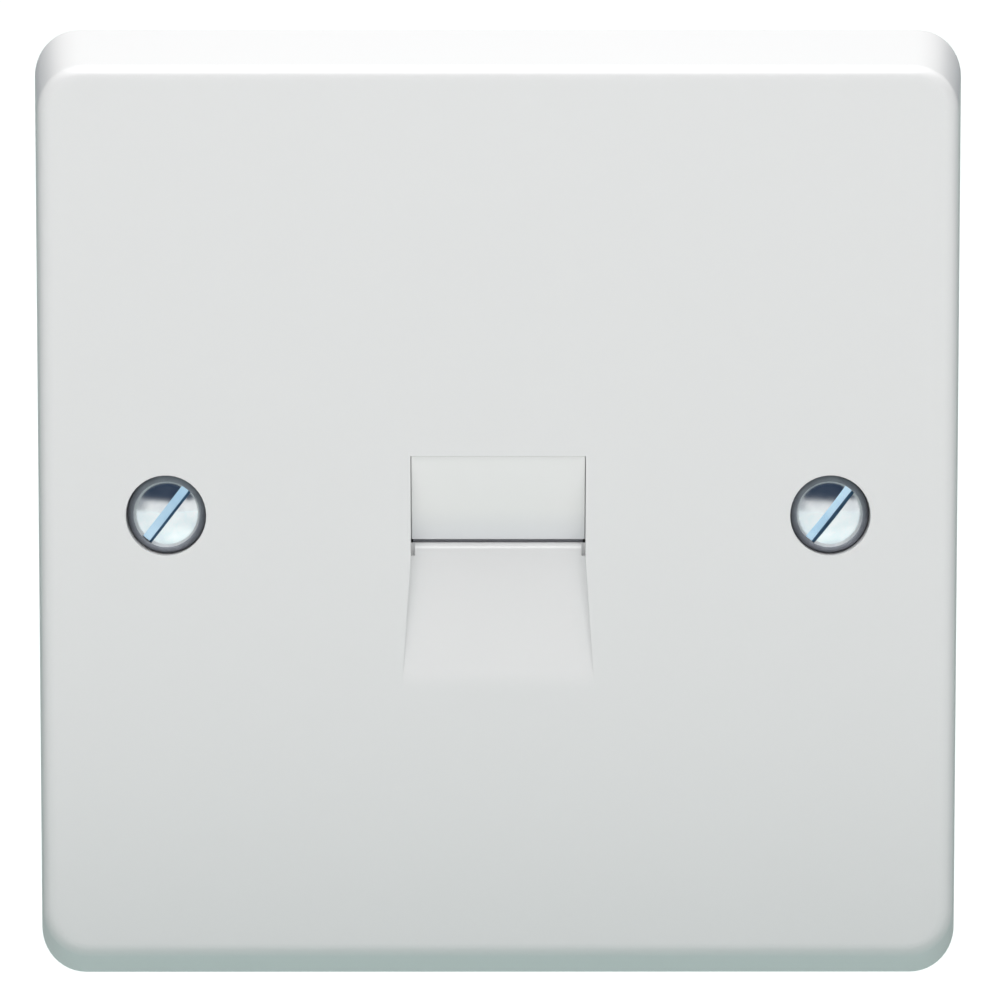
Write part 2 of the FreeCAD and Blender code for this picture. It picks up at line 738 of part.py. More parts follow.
def make_shutter_spring():
    """A torsion spring: a coil about the pin, one leg on the floor and one behind the flap."""
    lean = math.radians(SHUTTER_LEAN.number)
    radius = s.SpringRadius.number
    exit_angle = math.radians(180 - s.SpringExit.number) + lean
    turns = s.SpringTurns.number + (1.5 * math.pi - exit_angle) / (2 * math.pi)
    height = 2 * COIL_HALF.number
    helix = Part.makeHelix(height / turns, height, radius)
    along = FreeCAD.Rotation(V(0, 0, -1), V(0, -1, 0), V(-1, 0, 0), "ZXY")
    helix.Placement = FreeCAD.Placement(V(height / 2, 0, 0), along)
    coil = helix.Edges[0]
    first = coil.valueAt(coil.FirstParameter)
    last = coil.valueAt(coil.LastParameter)
    enter = coil.tangentAt(coil.FirstParameter)
    leave = coil.tangentAt(coil.LastParameter)
    foot = first - enter * s.SpringLeg.number

    # The upper leg runs out from the coil until it lies against the flap, then turns up it
    up = V(0, -math.sin(lean), math.cos(lean))
    rearward = V(0, math.cos(lean), math.sin(lean))
    flap_back = s.ShutterThickness.number - s.BarrelRadius.number
    stand_off = flap_back + s.SpringWire.number + s.PinRunning.number
    knee = last + leave * ((stand_off - last.dot(rearward)) / leave.dot(rearward))
    half_turn = leave.getAngle(up) / 2
    bend = s.SpringBend.number
    bend_start = knee - leave * (bend * math.tan(half_turn))
    bend_end = knee + up * (bend * math.tan(half_turn))
    inward = (up - leave).normalize()
    bend_middle = knee + inward * (bend / math.cos(half_turn) - bend)
    route = Part.Wire([
        Part.makeLine(foot, first),
        coil,
        Part.makeLine(last, bend_start),
        Part.Arc(bend_start, bend_middle, bend_end).toShape(),
        Part.makeLine(bend_end, bend_end + up * s.SpringLeg.number),
    ])
    section = wire_section(foot, enter, s.SpringWire.number)
    spring = doc.addObject("Part::Feature", "shutter_spring")
    spring.Label = "shutter_spring"
    spring.Shape = route.makePipeShell([section], True, True)
    place(spring, y=PIVOT_Y, z=PIVOT_Z)
    return spring


def make_jack_housing():
    """The moulded cup that takes the plug, between the faceplate's seat and the board."""
    body = new_body("jack_housing")
    block = front_sketch(body, "housing_outline", SEAT)
    wide = HOUSING_HALF_WIDTH
    rectangle(block, -wide, wide, HOUSING_LOW, HOUSING_HIGH, s.HousingCorner)
    pad(body, block, s.HousingDepth, "housing_block", backward=True)
    cavity = front_sketch(body, "cavity_outline", SEAT)
    inside = s.CavityHalfWidth
    rectangle(cavity, -inside, inside, -s.CavityDrop, s.CavityRise)
    pocket(body, cavity, s.HousingDepth - s.RearWall, "plug_cavity")

    # The comb slides in over two rails, under a recess in the roof
    comb_front = FRONT + s.CombNose - s.CombHalf - s.CombGap
    recess = front_sketch(body, "comb_recess_outline", comb_front)
    comb_top = s.CombLine + s.CombHalf + s.CombGap
    rectangle(recess, -inside, inside, s.CavityRise - s.CombGap, comb_top)
    pocket(body, recess, CAVITY_BACK - comb_front, "comb_recess")
    rails = front_sketch(body, "rail_outlines", FRONT + s.CombNose)
    rail_top = s.CombLine - s.CombHalf
    for side in (-1, 1):
        ends = (side * (inside - s.RailWidth), side * (inside + s.RailWidth))
        near = sorted(ends, key=lambda size: size.number)
        rectangle(rails, near[0], near[1], rail_top - s.RailThickness, rail_top)
    pad(body, rails, CAVITY_BACK - FRONT - s.CombNose, "comb_rails", backward=True)
    slit = front_sketch(body, "contact_slit_outline", CAVITY_BACK)
    low = STRIP_LINE - s.StripThickness / 2 - s.CombGap
    high = STRIP_LINE + s.StripThickness / 2 + s.CombGap
    margin = s.StripWidth / 2 + s.CombGap
    last_x = FIRST_CONTACT_X + s.ContactPitch * (s.ContactCount - 1)
    rectangle(slit, FIRST_CONTACT_X - margin, last_x + margin, low, high)
    pocket(body, slit, s.RearWall, "contact_slit")

    # The plug's side latch snaps into a recess in the right wall
    latch = side_sketch(body, "latch_outline", inside + s.LatchRecess)
    latch_front = FRONT + s.LatchDepth
    rectangle(latch, latch_front, latch_front + s.LatchLength, -s.LatchLow, s.LatchHigh)
    pocket(body, latch, s.LatchRecess, "latch_recess")

    # Slots open to the front let the pin in, and the faceplate shuts them
    fit = s.PinRadius
    lead = side_sketch(body, "pin_slot_outline")
    rectangle(lead, SEAT, PIVOT_Y, PIVOT_Z - fit, PIVOT_Z + fit)
    pocket(body, lead, 2 * (PIN_HALF_LENGTH + s.PinRunning), "pin_slots", midplane=True)
    end = side_sketch(body, "pin_seat_outline")
    circle(end, PIVOT_Y, PIVOT_Z, fit)
    pocket(body, end, 2 * (PIN_HALF_LENGTH + s.PinRunning), "pin_seats", midplane=True)

    # The lower leg of the spring lies on this rib
    rest = side_sketch(body, "leg_rest_outline", COIL_HALF - 2 * s.SpringWire)
    rest_top = PIVOT_Z - s.SpringRadius - s.SpringWire
    rest_back = PIVOT_Y + s.SpringLeg
    rest_front = rest_back - s.LegRestLength
    rectangle(rest, rest_front, rest_back, -(s.CavityDrop + s.HousingFloor / 2), rest_top)
    pad(body, rest, 4 * s.SpringWire, "leg_rest")

    pegs = front_sketch(body, "peg_outlines", BOARD_FRONT)
    level = HOUSING_LOW + s.PegInset
    for side in (-1, 1):
        x = side * (wide - s.PegInset)
        rectangle(pegs, x - s.PegHalf, x + s.PegHalf, level - s.PegHalf, level + s.PegHalf)
    pad(body, pegs, s.BoardThickness - s.PegSet, "board_pegs", backward=True)
    return body


def fin_outline(sketch):
    """The comb in section, with the two corners of its nose cut off."""
    front = FRONT + s.CombNose - s.CombHalf
    low = s.CombLine - s.CombHalf
    high = s.CombLine + s.CombHalf
    outline(sketch, [
        (front, low + s.CombChamfer),
        (front + s.CombChamfer, low),
        (CAVITY_BACK, low),
        (CAVITY_BACK, high),
        (front + s.CombChamfer, high),
        (front, high - s.CombChamfer),
    ])


def make_contact_carrier():
    """The comb: a thin core with a row of fins that keep the contact strips apart."""
    body = new_body("contact_carrier")
    back = CAVITY_BACK
    half = COMB_HALF_WIDTH
    middle = s.CombLine
    nose = FRONT + s.CombNose
    core = side_sketch(body, "core_section")
    outline(core, [
        (nose - s.CoreHalf, middle - s.CoreHalf, s.CoreRounding),
        (back, middle - s.CoreHalf),
        (back, middle + s.CoreHalf),
        (nose - s.CoreHalf, middle + s.CoreHalf, s.CoreRounding),
    ])
    pad(body, core, 2 * half, "core", midplane=True)
    fin = side_sketch(body, "fin_section", FIRST_FIN_X - (s.ContactPitch - s.GrooveWidth) / 2)
    fin_outline(fin)
    tooth = pad(body, fin, s.ContactPitch - s.GrooveWidth, "fin")
    repeat(body, [tooth], "X_Axis", s.ContactPitch, s.ContactCount + 1, "fins")
    land = side_sketch(body, "land_section", half)
    fin_outline(land)
    solid_from = FIRST_FIN_X + s.ContactPitch * s.ContactCount
    pad(body, land, half - solid_from, "land", backward=True)
    return body


def make_contact(number):
    """One spring strip: from the board over the comb, round its nose and down to the plug."""
    body = new_body(f"contact_{number}")
    tail = BOARD_BACK + s.TailReach
    nose = FRONT + s.CombNose - STRIP_BEND
    elbow = BOARD_FRONT - s.ElbowDepth
    end = front_sketch(body, "strip_section", tail)
    wide = s.StripWidth / 2
    thick = s.StripThickness / 2
    rectangle(end, -wide, wide, STRIP_LINE - thick, STRIP_LINE + thick)
    path = side_sketch(body, "strip_path")
    outline(path, [
        (tail, STRIP_LINE),
        (nose, STRIP_LINE, STRIP_BEND),
        (nose, STRIP_LINE - 2 * STRIP_BEND, STRIP_BEND),
        (elbow, s.ElbowHeight, s.ElbowRadius),
        (BOARD_FRONT - s.TipDepth, s.TipHeight),
    ], closed=False)
    doc.recompute()
    strip = body.newObject("PartDesign::AdditivePipe", "strip")
    strip.Profile = end
    strip.Spine = (path, [f"Edge{i + 1}" for i in range(len(path.Shape.Edges))])
    place(body, x=FIRST_CONTACT_X + s.ContactPitch * (number - 1))
    return body


def make_circuit_board():
    """The board that carries the contacts' tails and the terminals."""
    body = new_body("circuit_board")
    laminate = front_sketch(body, "board_outline", BOARD_FRONT)
    half = s.BoardHalfWidth
    tall = s.BoardHalfHeight
    rectangle(laminate, -half, half, -tall, tall, s.BoardCorner)
    pad(body, laminate, s.BoardThickness, "board", backward=True)
    holes = front_sketch(body, "hole_rings", BOARD_FRONT)
    gap = s.BoardHoleGap
    peg = s.PegHalf + s.PegGap
    peg_level = HOUSING_LOW + s.PegInset
    reach = s.BladeThickness / 2 + s.BladeGap
    foot = s.BladeFoot / 2 + s.BladeGap
    for side in (-1, 1):
        circle(holes, side * s.PillarX, side * s.PillarZ, s.BoardScrewRadius + gap)
        x = side * (HOUSING_HALF_WIDTH - s.PegInset)
        rectangle(holes, x - peg, x + peg, peg_level - peg, peg_level + peg)
        for level in WAY_LEVELS:
            x = side * s.BlockX
            z = level * s.WayPitch
            rectangle(holes, x - reach, x + reach, z - foot, z + foot)
    for number in range(int(s.ContactCount.number)):
        x = FIRST_CONTACT_X + s.ContactPitch * number
        wide = s.StripWidth / 2 + s.TailGap
        thick = s.StripThickness / 2 + s.TailGap
        rectangle(holes, x - wide, x + wide, STRIP_LINE - thick, STRIP_LINE + thick)
    pocket(body, holes, s.BoardThickness, "board_holes")
    return body


def make_board_screws():
    """Two cross-headed screws that hold the board to the pillars."""
    body = new_body("board_screws")
    seat = BOARD_BACK
    top = seat + s.BoardScrewRise
    profile = new_sketch(body, "board_screw_section", "XY_Plane", -s.PillarZ, -s.PillarX)
    outline(profile, [
        (0, top),
        (s.BoardScrewHead, top),
        (s.BoardScrewHead, seat),
        (s.BoardScrewRadius, seat),
        (s.BoardScrewRadius, seat - s.BoardScrewLength),
        (0, seat - s.BoardScrewLength),
    ])
    screw = turned(body, "Revolution", profile, "screw")
    cross = front_sketch(body, "cross_outline", top)
    near = s.CrossWidth / 2
    far = s.CrossLength / 2
    x = -s.PillarX
    z = -s.PillarZ
    outline(cross, [
        (x - near, z - far), (x + near, z - far), (x + near, z - near), (x + far, z - near),
        (x + far, z + near), (x + near, z + near), (x + near, z + far), (x - near, z + far),
        (x - near, z + near), (x - far, z + near), (x - far, z - near), (x - near, z - near),
    ])
    cut = pocket(body, cross, s.CrossDepth, "cross", backward=True)
    turn_over(body, [screw, cut], "screw_pair")
    return body


def make_idc_block(label, side):
    """A block of three ways, slotted so that each wire is pushed into its forked blade."""
    body = new_body(label)
    half = s.BlockHalfWidth
    tall = s.BlockHalfHeight
    base = front_sketch(body, "block_outline", BOARD_BACK)
    rectangle(base, -half, half, -tall, tall)
    block = pad(body, base, s.BlockRise, "block", backward=True)
    ease(body, block, "Chamfer", on_plane("y", BLOCK_BACK), s.BlockChamfer, "block_chamfer")
    way = front_sketch(body, "way_outline", BLOCK_BACK)
    slot = s.WaySlot / 2
    across = half + s.Beyond
    rectangle(way, -across, across, -s.WayPitch - slot, -s.WayPitch + slot)
    wire_slot = pocket(body, way, s.WaySlotDepth, "wire_slot", backward=True)
    blade = front_sketch(body, "blade_slot_outline", BLOCK_BACK)
    reach = s.BladeThickness / 2 + s.BladeGap
    wide = s.BladeHalfWidth + s.BladeGap
    rectangle(blade, -reach, reach, -s.WayPitch - wide, -s.WayPitch + wide)
    blade_slot = pocket(body, blade, s.BlockRise, "blade_slot", backward=True)
    repeat(body, [wire_slot, blade_slot], "Z_Axis", s.WayPitch, len(WAY_LEVELS), "ways")
    place(body, x=side * s.BlockX)
    return body


def make_idc_blade(number, side, level):
    """A forked blade: its slit strips and grips the wire that is pushed in."""
    body = new_body(f"idc_blade_{number}")
    profile = side_sketch(body, "blade_outline", -s.BladeThickness / 2)
    wide = s.BladeHalfWidth
    top = BLOCK_BACK - s.BladeSet
    slit = s.BladeFork / 2
    floor = top - s.BladeForkDepth
    throat = top - s.BladeMouthDepth
    mouth = s.BladeMouth / 2
    foot = s.BladeFoot / 2
    tip = BOARD_FRONT - s.BladeFootReach
    outline(profile, [
        (tip, -foot), (BOARD_BACK, -foot), (BOARD_BACK, -wide), (top, -wide),
        (top, -mouth), (throat, -slit), (floor, -slit), (floor, slit),
        (throat, slit), (top, mouth), (top, wide), (BOARD_BACK, wide),
        (BOARD_BACK, foot), (tip, foot),
    ])
    pad(body, profile, s.BladeThickness, "blade")
    place(body, x=side * s.BlockX, z=level * s.WayPitch)
    return body


def make_all():
    """Every piece, in the order in which the socket is put together from the front."""
    pieces = [
        make_faceplate(),
        make_fixing_screws(),
        make_shutter(),
        make_shutter_pin(),
        make_shutter_spring(),
        make_jack_housing(),
        make_contact_carrier(),
    ]
    for number in range(1, int(s.ContactCount.number) + 1):
        pieces.append(make_contact(number))
    pieces.append(make_circuit_board())
    pieces.append(make_board_screws())
    pieces.append(make_idc_block("idc_block_left", -1))
    pieces.append(make_idc_block("idc_block_right", 1))
    number = 0
    for side in (-1, 1):
        for level in WAY_LEVELS:
            number += 1
            pieces.append(make_idc_blade(number, side, level))
    return pieces


pieces = make_all()
doc.recompute()
for item in doc.Objects:
    if "Invalid" in item.State or "Error" in item.State:
        raise RuntimeError(f"{item.Label} failed: {item.State}")
os.makedirs("parts", exist_ok=True)
for piece in pieces:
    shape = piece.Shape
    if shape.isNull() or not shape.isValid():
        raise RuntimeError(f"{piece.Label} has no sound shape")
    print(f"{piece.Label}: {len(shape.Solids)} solid(s), {shape.Volume:.1f} mm3, {shape.BoundBox}")
for piece in pieces:
    piece.Shape.exportStep(f"parts/{piece.Label}.step")
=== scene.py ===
"""Telephone wall socket: finishes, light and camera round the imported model, in metres."""
import json
import math

import bmesh
import bpy
from mathutils import Matrix, Vector


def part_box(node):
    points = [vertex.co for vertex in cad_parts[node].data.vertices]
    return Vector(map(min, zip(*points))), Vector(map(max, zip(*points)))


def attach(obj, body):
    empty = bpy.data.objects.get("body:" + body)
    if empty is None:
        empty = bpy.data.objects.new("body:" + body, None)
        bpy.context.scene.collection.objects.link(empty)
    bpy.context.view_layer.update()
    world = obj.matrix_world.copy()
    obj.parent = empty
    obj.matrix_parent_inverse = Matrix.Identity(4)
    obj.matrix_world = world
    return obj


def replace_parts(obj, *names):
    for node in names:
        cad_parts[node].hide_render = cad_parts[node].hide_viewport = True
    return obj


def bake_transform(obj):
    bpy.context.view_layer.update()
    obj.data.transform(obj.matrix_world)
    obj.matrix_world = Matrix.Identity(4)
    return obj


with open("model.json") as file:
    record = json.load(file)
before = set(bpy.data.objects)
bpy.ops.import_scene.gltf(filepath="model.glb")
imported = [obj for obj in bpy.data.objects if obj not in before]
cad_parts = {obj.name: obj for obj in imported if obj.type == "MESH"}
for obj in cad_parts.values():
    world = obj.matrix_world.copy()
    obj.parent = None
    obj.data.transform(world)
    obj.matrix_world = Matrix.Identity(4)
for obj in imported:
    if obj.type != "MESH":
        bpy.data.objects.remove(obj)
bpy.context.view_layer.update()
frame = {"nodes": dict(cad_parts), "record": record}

MM = 0.001
FULL_TURN = 2 * math.pi
WHITE = (1.0, 1.0, 1.0, 1.0)

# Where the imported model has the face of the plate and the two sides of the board
FACE_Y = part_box("faceplate")[0].y
BOARD_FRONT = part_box("circuit_board")[0].y
BOARD_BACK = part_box("circuit_board")[1].y

# Camera: square on, a little above the middle of the plate
CAMERA_DISTANCE = 0.48
CAMERA_RISE = math.radians(5.76)
CAMERA_TURN = math.radians(-0.1)
CAMERA_AIM = (0.000165, FACE_Y, 0.001417)
CAMERA_LENS = 190.5
CAMERA_SENSOR = 36.0
CAMERA_NEAR = 0.01

# Floor: its height, half its side, its colour for the light that it throws back, how far it
# glows for the camera, and over which Y that glow fades out for reflections
FLOOR_Z = -0.16
FLOOR_HALF = 40.0
FLOOR_COLOUR = (0.70, 0.86, 0.83, 1.0)
FLOOR_ROUGHNESS = 0.9
FLOOR_GLOW = 0.78
FLOOR_FADE = (-0.21, -0.05)

# Room: the strength of its even light. For reflections it has shades of its own, by direction
# with each axis from -1 to 1: the axis, where the shade starts and ends, and its two values
ROOM_LEVEL = 0.35
ROOM_DARK = (0.03, 0.05, 0.09, 1.0)
ROOM_SHADES = {
    "in_front": ("Y", -0.1, 0.1, 1.0, 0.0),
    "behind": ("Y", -0.1, 0.1, 0.0, 0.85),
    "band_foot": ("Z", 0.20, 0.30, 0.0, 1.0),
    "band_top": ("Z", 0.70, 0.85, 1.0, 0.0),
    "low": ("Z", 0.30, 0.55, 1.0, 0.0),
    "left": ("X", -0.72, -0.42, 0.6, 0.0),
    "strength": ("Z", 0.60, 0.90, 1.0, 3.0),
}

# Finishes: the span of a noise's values over which a colour or roughness changes, the scale of
# the faint clouds in mouldings, and that of a metal's gloss as a share of its marks' scale
NOISE_SPAN = (0.35, 0.65)
CLOUD_SCALE = 60
METAL_GLOSS_SCALE = 0.4
MOULDING_IOR = 1.5
MOULDING_COAT_ROUGHNESS = 0.12


def linear(value):
    """A shade of 0 to 255 on screen as a linear share of white."""
    share = value / 255.0
    return share / 12.92 if share <= 0.04045 else ((share + 0.055) / 1.055) ** 2.4


def colour(red, green, blue):
    """A colour from its shades of 0 to 255 on screen."""
    return (linear(red), linear(green), linear(blue), 1.0)


def fill(node, **values):
    """Set a node's own inputs, with the spaces in their names written as underscores."""
    for key, value in values.items():
        node.inputs[key.replace("_", " ")].default_value = value


class Tree:
    """A node tree with short ways to add and join nodes."""

    def __init__(self, tree):
        self.tree = tree

    def add(self, kind, **settings):
        node = self.tree.nodes.new(kind)
        for key, value in settings.items():
            setattr(node, key, value)
        return node

    def join(self, start, end):
        self.tree.links.new(start, end)

    def axes(self, place):
        """The outputs X, Y and Z of a place or a direction."""
        node = self.add("ShaderNodeSeparateXYZ")
        self.join(place, node.inputs["Vector"])
        return node.outputs

    def ramp(self, value, start, end, low, high, form="LINEAR"):
        """A number that runs from low to high as the value runs from start to end."""
        node = self.add("ShaderNodeMapRange", interpolation_type=form)
        fill(node, From_Min=start, From_Max=end, To_Min=low, To_Max=high)
        self.join(value, node.inputs["Value"])
        return node.outputs["Result"]

    def step(self, value, start, end, low, high):
        """A ramp that is smooth at both ends."""
        return self.ramp(value, start, end, low, high, "SMOOTHSTEP")

    def combine(self, operation, first, second):
        node = self.add("ShaderNodeMath", operation=operation)
        self.join(first, node.inputs[0])
        self.join(second, node.inputs[1])
        return node.outputs["Value"]

    def mix(self, share, first, second):
        """The first colour at a share of 0 and the second at 1, each a colour or an output."""
        node = self.add("ShaderNodeMix", data_type="RGBA")
        for name, tint in (("A", first), ("B", second)):
            if isinstance(tint, tuple):
                node.inputs[name].default_value = tint
            else:
                self.join(tint, node.inputs[name])
        self.join(share, node.inputs["Factor"])
        return node.outputs["Result"]

    def mix_shaders(self, share, first, second):
        node = self.add("ShaderNodeMixShader")
        self.join(share, node.inputs["Fac"])
        self.join(first, node.inputs[1])
        self.join(second, node.inputs[2])
        return node.outputs["Shader"]

    def seen_rays(self):
        """Two numbers: 1 where the camera sees directly or through glass, 1 in a reflection."""
        path = self.add("ShaderNodeLightPath").outputs
        camera = self.combine("MAXIMUM", path["Is Camera Ray"], path["Is Transmission Ray"])
        return camera, path["Is Glossy Ray"]


class Finish(Tree):
    """A material whose patterns follow the object's own coordinates."""

    def __init__(self, name):
        self.material = bpy.data.materials.new(name)
        self.material.use_nodes = True
        super().__init__(self.material.node_tree)
        self.shader = self.tree.nodes["Principled BSDF"]
        self.place = self.add("ShaderNodeTexCoord").outputs["Object"]

    def noise(self, scale, detail, roughness=0.5, stretch=(1, 1, 1)):
        mapping = self.add("ShaderNodeMapping")
        fill(mapping, Scale=stretch)
        self.join(self.place, mapping.inputs["Vector"])
        node = self.add("ShaderNodeTexNoise")
        fill(node, Scale=scale, Detail=detail, Roughness=roughness)
        self.join(mapping.outputs["Vector"], node.inputs["Vector"])
        return node.outputs["Fac"]

    def blend(self, noise, first, second):
        """A colour that runs from the first to the second with the noise."""
        return self.mix(self.ramp(noise, *NOISE_SPAN, 0.0, 1.0), first, second)

    def below(self, tint, other, low, high):
        """The tint above the height high, the other colour below the height low, in metres."""
        height = self.axes(self.place)["Z"]
        return self.mix(self.ramp(height, low, high, 0.0, 1.0), other, tint)

    def gloss(self, noise, low, high):
        """A roughness that runs from low to high with the noise."""
        self.join(self.ramp(noise, *NOISE_SPAN, low, high), self.shader.inputs["Roughness"])

    def bump(self, noise, distance):
        node = self.add("ShaderNodeBump")
        fill(node, Distance=distance, Strength=1.0)
        self.join(noise, node.inputs["Height"])
        self.join(node.outputs["Normal"], self.shader.inputs["Normal"])


def moulded(name, light, dark, gloss, grain, bump, coat=0.0, foot=None):
    """A moulded plastic: faint clouds in the colour and a fine grain in gloss and surface.

    A foot gives a colour and two heights: from the upper to the lower one, the colour takes over.
    It is used only as painted shade at the foot of the flap.
    """
    made = Finish(name)
    tint = made.blend(made.noise(CLOUD_SCALE, 3.0), dark, light)
    if foot:
        tint = made.below(tint, *foot)
    made.join(tint, made.shader.inputs["Base Color"])
    made.gloss(made.noise(grain, 3.0), *gloss)
    made.bump(made.noise(grain, 2.0), bump)
    fill(made.shader, IOR=MOULDING_IOR, Coat_Weight=coat, Coat_Roughness=MOULDING_COAT_ROUGHNESS)
    return made.material


def metal(name, light, dark, gloss, scale, bump, stretch=(1, 1, 1)):
    """A drawn or plated metal. Its marks run along an axis whose stretch is below 1."""
    made = Finish(name)
    marks = made.noise(scale, 4.0, 0.6, stretch)
    made.join(made.blend(marks, dark, light), made.shader.inputs["Base Color"])
    made.gloss(made.noise(scale * METAL_GLOSS_SCALE, 3.0), *gloss)
    made.bump(marks, bump)
    fill(made.shader, Metallic=1.0)
    return made.material


# Finishes, as arguments of moulded() and metal(), with heights and bumps in metres. The last two
# mouldings, shutter_face and the last three metals are for pieces of this scene alone
MOULDINGS = {
    "white_moulding": dict(
        light=colour(239, 240, 240), dark=colour(238.7, 239.7, 239.7), gloss=(0.28, 0.30),
        grain=1400, bump=3e-7, coat=0.1,
    ),
    "shutter_white": dict(
        light=colour(235, 235, 235), dark=colour(234.7, 234.7, 234.7), gloss=(0.34, 0.37),
        # Its foot colour is painted shade: the flap turns grey below the front skin, where it
        # shows in the gap above the lip
        grain=1400, bump=3e-7, foot=(colour(182, 184, 190), -0.0024, -0.0019),
    ),
    "shutter_face": dict(
        light=colour(251, 251, 250), dark=colour(250.7, 250.7, 249.7), gloss=(0.34, 0.37),
        # Its foot colour is painted shade: the skin grows darker and bluer towards the flap's
        # foot, near the lip
        grain=1400, bump=3e-7, foot=(colour(238, 239, 242), -0.0026, 0.0005),
    ),
    "housing_plastic": dict(
        light=colour(226, 228, 227), dark=colour(220, 223, 222), gloss=(0.5, 0.6),
        grain=500, bump=1e-5,
    ),
    "comb_plastic": dict(
        light=colour(46, 46, 49), dark=colour(38, 38, 41), gloss=(0.45, 0.6),
        grain=700, bump=1e-5,
    ),
    "board_laminate": dict(
        light=colour(40, 104, 66), dark=colour(32, 90, 56), gloss=(0.26, 0.36),
        grain=300, bump=1.2e-5, coat=0.4,
    ),
    "terminal_plastic": dict(
        light=colour(214, 219, 226), dark=colour(206, 212, 220), gloss=(0.4, 0.5),
        grain=600, bump=8e-6,
    ),
    "track_resist": dict(
        light=colour(64, 134, 84), dark=colour(56, 122, 76), gloss=(0.26, 0.36),
        grain=300, bump=4e-6, coat=0.4,
    ),
    "print_ink": dict(
        light=colour(232, 234, 230), dark=colour(222, 226, 222), gloss=(0.5, 0.6),
        grain=900, bump=2e-6,
    ),
}
METALS = {
    "zinc_steel": dict(
        light=colour(228, 232, 234), dark=colour(210, 216, 221), gloss=(0.13, 0.22),
        scale=500, bump=3e-6,
    ),
    "bright_steel": dict(
        light=colour(214, 214, 216), dark=colour(190, 190, 194), gloss=(0.18, 0.28),
        scale=700, bump=4e-6, stretch=(0.1, 1, 1),
    ),
    "spring_steel": dict(
        light=colour(190, 190, 196), dark=colour(160, 160, 168), gloss=(0.2, 0.32),
        scale=900, bump=3e-6,
    ),
    "contact_gold": dict(
        light=colour(238, 206, 132), dark=colour(222, 184, 104), gloss=(0.16, 0.28),
        scale=900, bump=3e-6, stretch=(1, 0.1, 1),
    ),
    "tinned_bronze": dict(
        light=colour(216, 214, 206), dark=colour(190, 186, 176), gloss=(0.2, 0.34),
        scale=800, bump=4e-6, stretch=(1, 0.2, 1),
    ),
    # A darker copy of the screws' steel for the collars: painted shade in the gap round each head
    "painted_shade_steel": dict(
        light=colour(166, 170, 178), dark=colour(146, 150, 158), gloss=(0.36, 0.48),
        scale=500, bump=4e-6,
    ),
    "slot_steel": dict(
        light=colour(198, 222, 240), dark=colour(172, 204, 228), gloss=(0.26, 0.36),
        scale=300, bump=2e-6,
    ),
    # A dark steel strip in the slot's lower corner: painted shade
    "slot_painted_shade": dict(
        light=colour(122, 150, 174), dark=colour(102, 132, 158), gloss=(0.4, 0.5),
        scale=500, bump=2e-6,
    ),
}
finishes = {name: moulded(name, **look) for name, look in MOULDINGS.items()}
finishes.update({name: metal(name, **look) for name, look in METALS.items()})

for part in frame["record"]["subparts"]:
    node = frame["nodes"][part["node"]]
    node.data.materials.clear()
    node.data.materials.append(finishes[part["material_slot"]])


def add_piece(name, mesh, finish, body="socket"):
    """A mesh that moves with a body and takes one of the finishes."""
    piece = bpy.data.objects.new(name, mesh)
    bpy.context.scene.collection.objects.link(piece)
    mesh.materials.clear()
    mesh.materials.append(finishes[finish])
    if body:
        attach(piece, body)
    return piece


def made_mesh(bm, name, angle=None):
    """The finished mesh, smooth over all edges but those sharper than the angle in degrees."""
    mesh = bpy.data.meshes.new(name)
    bm.to_mesh(mesh)
    bm.free()
    if angle:
        mesh.polygons.foreach_set("use_smooth", [True] * len(mesh.polygons))
        mesh.set_sharp_from_angle(angle=math.radians(angle))
    return mesh


def turn_outward(bm):
    bmesh.ops.recalc_face_normals(bm, faces=bm.faces)


def stitch(bm, rings):
    """Faces between one closed ring of vertices and the next."""
    for near, far in zip(rings, rings[1:]):
        for k in range(len(near)):
            after = (k + 1) % len(near)
            bm.faces.new((near[k], near[after], far[after], far[k]))


def add_spot(bm, x, y, radius, angle):
    """A vertex at this radius and angle round the line y at this x, in mm."""
    spot = (x + radius * math.cos(angle), y, radius * math.sin(angle))
    return bm.verts.new([size * MM for size in spot])


# Screw thread, in mm: a 60 degree form on the part of the shank behind the wall plane, as
# (along, radius). At both ends it runs out to the foot's radius, over the length of the taper
THREAD_PITCH = 0.6
THREAD_CREST = 1.75
THREAD_ROOT = 1.42
THREAD_FOOT = THREAD_ROOT - 0.1
THREAD_START = 0.02
THREAD_END = 15.8
THREAD_TAPER = 0.45
THREAD_SIDES = 28
THREAD_FORM = (
    (0.04, THREAD_ROOT), (0.26, THREAD_CREST), (0.34, THREAD_CREST), (0.56, THREAD_ROOT),
)
THREAD_WELD = 0.002

# Fixing screws, in mm: their slots, with sections as (across, y), and the bevelled collar round
# each head, as (radius, y) from the head outwards
SCREW_X = (-30.15, 30.15)
HEAD_END = 1.0
SLOT_ANGLE = math.radians(52.0)
SLOT_HALF_LENGTH = 2.92
SLOT_FLOOR_FORM = ((-0.49, -8.07), (0.28, -8.07), (0.28, -8.03), (-0.49, -8.03))
SLOT_CORNER_FORM = ((0.25, -8.03), (0.27, -8.09), (0.49, -8.48), (0.49, -8.03))
# The collar stands for the rim of each head. Its darker steel is painted shade from the gap round
# the head
COLLAR_FORM = ((2.97, -8.50), (3.12, -8.46), (3.40, -8.28), (3.56, -8.02), (3.63, -7.60))
COLLAR_SIDES = 64


def add_collar(bm, x):
    """The collar round the screw at this x."""
    stitch(bm, [
        [add_spot(bm, x, y, radius, FULL_TURN * k / COLLAR_SIDES) for k in range(COLLAR_SIDES)]
        for radius, y in COLLAR_FORM
    ])


